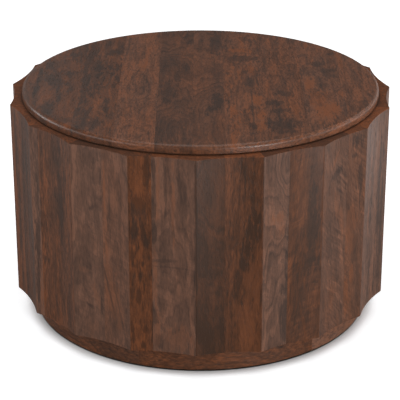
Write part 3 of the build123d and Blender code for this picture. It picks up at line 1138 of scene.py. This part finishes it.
@dataclass
class Studio:
    """A pale floor, soft light and the camera.

    Attributes:
        aim: Where the camera looks.
        distance: From there to the camera.
        azimuth: Of the camera from the front towards +X, in degrees.
        elevation: Of the camera above the floor, in degrees.
        lens: Its focal length in millimetres.
        sensor: The width of its film in millimetres.
        floor_half: Half the width of the floor.
        contact: From the drum's axis, where the floor's glow begins and where it is in full; the
            fade between paints a shadow round the plinth.
        gap: From the drum's axis, where the painted shade under the plinth begins to pale and
            where it ends.
        beyond: From the drum's axis, where the glow begins to make up for light that the boxes no longer
            give, and where it makes up for all of it.
        clip: The nearest and the furthest that the camera sees.
        boxes: The lights.
        UNDER: Colour of the floor under the plinth, painted dark as shade.
        PAPER: Colour of the floor.
        BOUNCE: Colour of the floor for the light that it throws back at the table.
        GLOW: Colour of the floor's glow.
        GLOW_NEAR: Its strength near the table.
        GLOW_MORE: How much stronger it is far off.
        ROOM: The dim room that lights the table.
        BACKDROP: White behind the table.
    """

    # Painted shade: the floor's colour under the plinth.
    UNDER = (0.04, 0.035, 0.03)
    PAPER = (0.93, 0.93, 0.93)
    BOUNCE = (0.28, 0.28, 0.28)
    GLOW = (0.97, 0.98, 1.0, 1.0)
    GLOW_NEAR = 0.5
    GLOW_MORE = 0.6
    ROOM = (0.17, 0.17, 0.17)
    BACKDROP = (1.1, 1.1, 1.1)

    aim: Triple = (-0.0008, 0.0, 0.2079)
    distance: float = 3.3118
    azimuth: float = 1.31
    elevation: float = 23.013
    lens: float = 147.34
    sensor: float = 36.0
    floor_half: float = 30.0
    contact: tuple[float, float] = (335 * MM, 362 * MM)
    gap: tuple[float, float] = (333 * MM, 337 * MM)
    beyond: tuple[float, float] = (1.0, 4.0)
    clip: tuple[float, float] = (0.1, 100.0)
    boxes: tuple[SoftBox, ...] = (
        SoftBox("overhead", 0.0, 88.0, 2.6, 2.6, 2.6, 39.0),
        SoftBox("front_low_box", 34.0, 4.5, 2.6, 0.6, 0.6, 34.0),
        SoftBox("front_right_box", 42.0, 14.0, 2.6, 1.6, 1.0, 6.5),
        SoftBox("right_box", 86.0, 10.0, 2.4, 2.0, 0.8, 10.0),
        SoftBox("right_wide_box", 92.0, 20.0, 2.6, 2.8, 1.6, 8.5),
        SoftBox("back_right_high_box", 124.0, 36.0, 2.8, 1.2, 0.8, 4.5),
        SoftBox("back_right_box", 136.0, 4.0, 2.4, 2.0, 0.8, 3.6),
        SoftBox("right_card", 118.0, -6.0, 0.95, 0.8, 0.28, 0.42),
        SoftBox("back_left_box", -140.0, 20.0, 2.8, 2.8, 1.6, 4.3),
        SoftBox("back_left_low_box", -104.0, 9.0, 2.4, 0.9, 0.6, 10.0),
        SoftBox("left_box", -90.0, 13.0, 2.4, 2.0, 1.0, 10.5),
        SoftBox("front_left_box", -50.0, 14.0, 2.6, 1.6, 1.0, 21.0),
    )

    @staticmethod
    def toward(azimuth: float, elevation: float) -> Vector:
        """The direction from the table to a place given by its angles in degrees."""
        turn, rise = math.radians(azimuth), math.radians(elevation)
        ahead = math.cos(rise)
        return Vector((math.sin(turn) * ahead, -math.cos(turn) * ahead, math.sin(rise)))

    def floor(self) -> None:
        """A plain pale floor filling the view behind the table, painted with shade round and under the
        plinth.
        """
        half = self.floor_half
        corners = [(-half, -half, 0.0), (half, -half, 0.0), (half, half, 0.0), (-half, half, 0.0)]
        mesh = bpy.data.meshes.new("studio_floor")
        mesh.from_pydata(corners, [], [(0, 1, 2, 3)])
        material = bpy.data.materials.new("floor_paper")
        tree = emptied(material)
        seen = tree.node("LightPath").outputs["Is Camera Ray"]
        away = tree.length(tree.place(), (1.0, 1.0, 0.0))
        # The glow fades out close round the plinth: a painted shadow.
        outside_painted_shadow = tree.fade(away, *self.contact)
        # Under the plinth the paper is painted dark as shade.
        paper_with_painted_shade = tree.blend(tree.fade(away, *self.gap), self.UNDER, self.PAPER)
        paper = tree.node("BsdfDiffuse", {"Color": tree.blend(seen, self.BOUNCE, paper_with_painted_shade)})
        far = tree.total(tree.times(tree.fade(away, *self.beyond), self.GLOW_MORE), self.GLOW_NEAR)
        glow = tree.times(tree.times(seen, outside_painted_shadow), far)
        bright = tree.node("Emission", {"Color": self.GLOW, "Strength": glow})
        both = tree.node("AddShader", {0: paper.outputs[0], 1: bright.outputs[0]})
        tree.node("OutputMaterial", {"Surface": both.outputs[0]})
        mesh.materials.append(material)
        piece = bpy.data.objects.new("studio_floor", mesh)
        bpy.context.scene.collection.objects.link(piece)

    def light(self, box: SoftBox) -> None:
        """Hangs one soft box, facing the table."""
        data = bpy.data.lights.new(box.name, "AREA")
        data.shape = "RECTANGLE"
        data.size, data.size_y, data.energy = box.width, box.height, box.power
        lamp = bpy.data.objects.new(box.name, data)
        direction = self.toward(box.azimuth, box.elevation)
        lamp.location = Vector((0.0, 0.0, self.aim[2])) + direction * box.distance
        lamp.rotation_euler = direction.to_track_quat("Z", "Y").to_euler()
        lamp.visible_camera = False
        bpy.context.scene.collection.objects.link(lamp)

    def surroundings(self) -> None:
        """White behind the table, and a dim even room for everything else."""
        world = bpy.data.worlds.new("studio_room")
        tree = emptied(world)
        seen = tree.node("LightPath").outputs["Is Camera Ray"]
        shade = tree.blend(seen, self.ROOM, self.BACKDROP)
        room = tree.node("Background", {"Color": shade, "Strength": 1.0})
        tree.node("OutputWorld", {"Surface": room.outputs[0]})
        bpy.context.scene.world = world

    def camera(self) -> None:
        """The camera, aimed at the middle of the drum."""
        data = bpy.data.cameras.new("studio_camera")
        data.sensor_width = self.sensor
        data.lens = self.lens
        data.clip_start, data.clip_end = self.clip
        made = bpy.data.objects.new("studio_camera", data)
        back = self.toward(self.azimuth, self.elevation)
        made.location = Vector(self.aim) + back * self.distance
        made.rotation_euler = (-back).to_track_quat("-Z", "Y").to_euler()
        bpy.context.scene.collection.objects.link(made)
        bpy.context.scene.camera = made

    def build(self) -> None:
        """Sets up the floor, the lights, the room and the camera."""
        self.floor()
        for box in self.boxes:
            self.light(box)
        self.surroundings()
        self.camera()
        bpy.context.scene.view_settings.view_transform = "Standard"
        log.info("studio: %d soft boxes", len(self.boxes))


# ---- looks


def any_board(seed: int) -> Board:
    """A board of the same wood, drawn at random but always alike for one seed."""
    draw = random.Random(seed)
    figure = draw.choice(list(Figure))
    tone, warmth = draw.uniform(-0.25, 0.25), draw.uniform(0.45, 0.85)
    return Board(tone, warmth, figure, heart=draw.uniform(-25.0, 25.0))


def marks(*sizes: tuple[float, ...]) -> tuple[Mark, ...]:
    """The marks that these sizes give."""
    return tuple(Mark(*size) for size in sizes)


TOP_LOOKS = (
    Board(-0.12, 0.95, Figure.MOTTLED, -330, marks=marks(
        (-318, -35, 6, 65), (-325, -110, 8, 20, -0.8),
    )),
    Board(0.15, 0.85, Figure.MOTTLED, -300, marks=marks(
        (-306, 95, 9, 40), (-291, 18, 16, 38), (-288, -155, 13, 42), (-250, -215, 14, 14, 0.8),
        (-291, -68, 11, 36, -1), (-266, 15, 7, 22, -1), (-300, 65, 4, 14, -0.8), (-266, -165, 7, 40, -0.5),
    ), eyes=marks((-270, 110, 22, 60, 3))),
    Board(0.24, 0.78, Figure.MOTTLED, -200, marks=marks(
        (-222, 215, 14, 50), (-226, 130, 11, 60), (-180, 183, 13, 20), (-203, 92, 24, 26),
        (-226, 10, 8, 80, 0.9), (-178, -140, 6, 40), (-205, -235, 26, 24, 0.7), (-190, 250, 3, 25, 0.8),
        (-207, 215, 3, 30, -0.8), (-175, 175, 3, 8, -0.8),
    )),
    Board(0.68, 0.62, Figure.STREAKED, -120, marks=marks(
        (-147, 300, 9, 8, -1), (-110, 160, 4, 90, -0.5), (-160, 60, 3, 80, -0.4), (-148, 225, 2, 40, 0.6),
    ), eyes=marks((-112, -170, 34, 60, 4))),
    Board(0.1, 0.58, Figure.CATHEDRAL, -45, marks=marks(
        (-66, -60, 14, 60, 0.7), (-38, 60, 10, 60, 0.6, 15), (-55, -260, 24, 60, 0.5),
        (-25, 300, 9, 60, 0.5),
    ), eyes=marks((-62, 205, 26, 60, 3), (-50, -120, 30, 70, 3))),
    Board(0.31, 0.57, Figure.CATHEDRAL, 10, marks=marks(
        (33, 260, 12, 80, 0.9), (32, 60, 9, 80, 0.4), (34, -110, 13, 40), (20, -155, 9, 28, 0.9, 20),
    ), eyes=marks((-2, -250, 24, 70, 3))),
    Board(0.67, 0.63, Figure.FLECKED, 90, marks=marks(
        (80, 146, 32, 20, 0.9), (98, 5, 12, 28, 0.8), (92, 280, 10, 18, 0.7), (98, -145, 2, 110, 0.9),
        (98, -250, 8, 18), (72, 200, 28, 12, -0.9), (104, 190, 4, 14, -1), (100, 75, 16, 30, -0.6),
        (108, -105, 11, 26, -1), (113, -190, 7, 22, -1), (62, -170, 6, 30, -0.8),
        (64, -280, 5, 55, -0.9, 4), (115, -250, 6, 30, -0.7),
    )),
    Board(0.53, 0.65, Figure.STREAKED, 150, marks=marks(
        (162, -68, 14, 18, 0.9), (132, -125, 26, 14, 0.9), (150, -165, 16, 12, 0.9), (150, -238, 30, 30),
        (160, -278, 20, 10, 0.8), (180, -170, 6, 30, -0.5), (130, 80, 5, 60, 0.4),
    ), eyes=marks((168, 150, 22, 80, 3))),
    Board(0.74, 0.55, Figure.FLECKED, 230, slant=0.9, marks=marks(
        (235, 112, 13, 14, 0.9), (252, 70, 16, 16, 0.9), (262, 175, 9, 9), (212, 60, 9, 22, 0.6),
        (258, 35, 14, 14, 0.7), (210, 170, 12, 10, 0.6), (213, -20, 10, 40, -0.8), (222, -95, 18, 45, -0.7),
        (240, -160, 22, 40, -0.8), (219, 240, 6, 20, -0.8),
    ), eyes=marks((243, 75, 26, 50, 3))),
    Board(0.72, 0.59, Figure.STREAKED, 300, marks=marks(
        (283, 130, 5, 50, -0.5), (285, -140, 8, 40, 0.5), (305, -10, 8, 30, 0.5),
    )),
)

# Tones and warmths are partly the wood's own and partly painted light: the left staves' tones are lifted to
# make up for dimmer light there, and the low warmths of staves 18 and 4 paint a grey sheen.
FRONT_STAVES: dict[int, tuple[Board, Board]] = {
    16: (
        Board(0.25, 0.85, Figure.STREAKED, 0, sawn=0.8, marks=marks(
            (-52, 260, 4, 180, -0.9), (-45, 340, 4, 90, 0.9), (-37, 200, 6, 140, 0.9),
            (-28, 330, 4, 90, -0.6), (-26, 110, 4, 60, -0.8),
        )),
        Board(-0.23, 1.0, Figure.STREAKED, 20, sawn=0.55, marks=marks(
            (-8, 330, 4, 80, 0.8), (4, 150, 6, 100, -0.8), (16, 300, 5, 130, 0.8), (40, 220, 7, 160, 0.9),
            (30, 150, 4, 60, -0.8), (52, 300, 4, 120, -0.7),
        )),
    ),
    17: (
        Board(0.73, 0.05, Figure.STREAKED, -50, sawn=0.17, marks=marks(
            (-51, 215, 7, 45), (-53, 100, 4, 50, 0.8), (-44, 110, 5, 50, -0.9),
        )),
        Board(0.28, 0.7, Figure.STREAKED, 10, slant=-0.35, sawn=0.35, marks=marks(
            (-36, 255, 14, 16, 0.6), (-32, 180, 10, 10, 0.8), (22, 310, 14, 75, 0.9), (5, 400, 20, 40, 0.5),
            (-38, 110, 6, 55, -0.9), (15, 190, 3, 20, -0.6), (45, 90, 10, 60, 0.4),
        ), eyes=marks((-38, 220, 20, 50, 4))),
    ),
    18: (
        Board(0.62, 0.0, Figure.PLAIN, -20, sawn=-0.6, marks=marks(
            (-16, 425, 20, 18, 0.45), (-12, 392, 14, 22, 0.35), (-33, 125, 10, 4, 0.7, 40),
            (-4, 128, 2, 18, 0.9), (-22, 322, 9, 4, 0.6, -30), (-30, 195, 14, 7, -0.5),
            (-14, 145, 7, 26, -0.5, -20), (-30, 80, 16, 20, -0.4),
        ), eyes=marks((-22, 325, 20, 34, 1.2), (-38, 110, 26, 50, 2))),
        Board(0.67, 0.2, Figure.PLAIN, 30, lean=-3, sawn=-0.1, marks=marks(
            (8, 390, 2, 60, -0.7), (18, 360, 2, 80, 0.5), (10, 250, 3, 60, -0.6),
            (25, 150, 16, 60, -0.6, -14), (30, 90, 14, 40, 0.35, -14), (42, 300, 3, 120, 0.3),
            (12, 170, 2, 60, 0.7, -14), (36, 130, 2, 60, 0.6, -14),
        )),
    ),
    19: (
        Board(0.2, 0.95, Figure.FLECKED, -40, sawn=0.13, marks=marks(
            (-27, 415, 5, 30), (-45, 340, 13, 18, 0.8), (-52, 300, 8, 26), (-35, 295, 5, 36, 1, -10),
            (-56, 240, 4, 26), (-37, 232, 3, 8), (-42, 205, 3, 9), (-35, 188, 2, 14), (-45, 168, 4, 14),
            (-38, 140, 3, 12), (-56, 75, 4, 26), (-34, 100, 5, 10, 0.9), (-38, 65, 5, 8, 0.9),
            (-45, 395, 13, 45, -0.8), (-42, 252, 7, 20, -0.9), (-42, 120, 12, 80, -0.6),
        )),
        Board(0.46, 0.0, Figure.PLAIN, 10, sawn=0.5, marks=marks(
            (-15, 410, 3, 40, 0.6), (6, 400, 3, 60, 0.6), (36, 365, 9, 44, 0.45), (61, 250, 2, 210, 0.8),
            (30, 410, 3, 40, 0.7), (-8, 400, 3, 60, -0.8), (20, 370, 4, 70, -0.8), (-12, 330, 4, 20, -0.7),
            (0, 240, 34, 3, 0.5, -4), (10, 228, 30, 2, 0.4), (-14, 150, 3, 18, -0.8), (-15, 115, 5, 6, 0.8),
            (30, 80, 30, 26, -0.7), (-5, 70, 10, 16, 0.6), (-16, 205, 5, 50, -0.9), (-16, 300, 5, 26, 0.8),
            (-14, 255, 5, 16, -0.8), (-13, 95, 7, 40, -0.8), (-17, 130, 4, 14, 0.9), (-16, 340, 5, 20, 0.8),
            (-17, 425, 3, 14, 0.6),
        ), eyes=marks((36, 380, 18, 70, 3), (5, 150, 40, 60, 2))),
    ),
    1: (
        Board(-0.74, 1.05, Figure.PLAIN, -35, sawn=0.35, marks=marks(
            (-60, 250, 2, 210, 0.7), (-45, 90, 22, 40, 0.6), (-20, 120, 14, 50, 0.4),
            (-34, 300, 5, 16, -0.6), (-14, 385, 3, 18, -0.7), (-20, 340, 3, 16, -0.5, 15),
        ), eyes=marks((-40, 370, 24, 70, 3), (-30, 180, 26, 60, 3))),
        Board(-0.25, 1.1, Figure.STREAKED, 25, sawn=0.9, marks=marks(
            (50, 322, 10, 12), (42, 298, 13, 22), (34, 262, 10, 22, 1, 15), (28, 236, 8, 16),
            (17, 200, 4, 26, 0.9), (14, 172, 4, 10, 0.9), (28, 400, 2, 40, 0.8), (42, 380, 2, 60, 0.8),
            (55, 230, 12, 40, -1), (45, 190, 22, 36, -1), (38, 110, 26, 60, -1), (-3, 330, 2, 80, -0.6),
            (-2, 110, 3, 50, -0.8),
        )),
    ),
    2: (
        Board(0.47, 0.0, Figure.CATHEDRAL, -20, sawn=-0.05, marks=marks(
            (-6, 110, 14, 80, 0.9), (-2, 250, 9, 90, 0.7), (-30, 318, 16, 12, -0.8),
            (-20, 290, 10, 8, -0.5),
        ), eyes=marks((-16, 405, 26, 55, 4), (-45, 180, 24, 50, 1))),
        Board(-0.1, 0.9, Figure.RIPPLED, 30, lean=6, slant=-0.5, sawn=0.06, marks=marks(
            (42, 270, 16, 70, 0.8), (20, 160, 20, 90, 0.6), (20, 400, 8, 40, -0.4, 15),
            (28, 180, 2, 60, -0.4, -12), (30, 90, 3, 40, -0.8, -10), (6, 400, 6, 40, -0.5),
            (5, 330, 4, 30, -0.4),
        )),
    ),
    3: (
        Board(0.42, 0.18, Figure.RIPPLED, -20, lean=-8, slant=1.1, sawn=-0.1, marks=marks(
            (-18, 372, 14, 7, 0.8, -30), (-20, 405, 16, 3, -0.8, -60), (0, 280, 10, 50, -0.7, -20),
            (-25, 130, 12, 30, -0.5),
        ), eyes=marks((-10, 410, 24, 30, 3))),
        Board(0.38, 0.35, Figure.RIPPLED, 30, lean=-10, slant=1.1, sawn=0.75, marks=marks(
            (35, 425, 14, 12, 0.9), (50, 340, 4, 40, 0.9), (30, 395, 10, 5, 0.8), (30, 250, 14, 50, -0.7),
            (22, 110, 8, 40, -0.9), (35, 150, 8, 20, -0.8), (42, 210, 5, 30, 0.6),
        )),
    ),
    4: (
        # Painted sheen: this board's grey stands in for the lacquer's reflection on this grazing flute.
        Board(0.71, 0.0, Figure.STREAKED, -20, sawn=1.05, marks=marks(
            (-30, 330, 4, 100, 0.6), (-22, 230, 5, 34, -1), (-12, 235, 7, 28, 0.9), (-4, 300, 4, 70, 0.7),
            (-14, 170, 6, 34, 0.8), (-2, 120, 6, 50, 0.9), (-32, 120, 4, 60, -0.6),
        )),
        Board(0.52, 0.1, Figure.STREAKED, 20, sawn=1.2, marks=marks(
            (12, 300, 6, 90, 0.9), (20, 130, 8, 70, 0.9), (32, 250, 6, 120, 0.8), (46, 180, 5, 140, 0.7),
            (26, 380, 5, 50, -0.7),
        )),
    ),
}


def stave_looks(count: int) -> tuple[tuple[Board, Board], ...]:
    """The looks of every stave's two boards: given one by one at the front, drawn at random behind."""
    drawn = {number: (any_board(2 * number), any_board(2 * number + 1)) for number in range(1, count + 1)}
    return tuple(FRONT_STAVES.get(number, pair) for number, pair in drawn.items())


# The tones of segments 1, 2 and 6 are partly painted light: lifted to make up for the shade under the drum's
# overhang.
PLINTH_LOOKS = (
    Board(0.26, 0.75, Figure.STREAKED, 30),
    Board(0.95, 0.15, Figure.STREAKED, 30),
    any_board(502),
    any_board(503),
    any_board(504),
    Board(0.16, 0.65, Figure.STREAKED, 30),
)


# ---- main


def main() -> None:
    """Builds the table's pieces in order, then the studio."""
    logging.basicConfig(level=logging.INFO, format="%(message)s")
    low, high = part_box("top_board_06")
    radius = (high.y - low.y) / 2
    wood = StainedWood(corner=(radius, low.z))
    DrumTop(underside=low.z, upperside=high.z, radius=radius, looks=TOP_LOOKS).build(wood)
    low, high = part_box("stave_01_left")
    count = sum(name.startswith("stave_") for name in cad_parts) // 2
    FlutedDrum(bottom=low.z, rim=high.z, count=count, looks=stave_looks(count)).build(wood)
    low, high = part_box("plinth_segment_1")
    count = sum(name.startswith("plinth_segment_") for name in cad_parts)
    Plinth(bottom=low.z, top=high.z, radius=-low.y, count=count, looks=PLINTH_LOOKS).build(wood)
    InnerWorks().build()
    Studio().build()


if __name__ == "__main__":
    main()
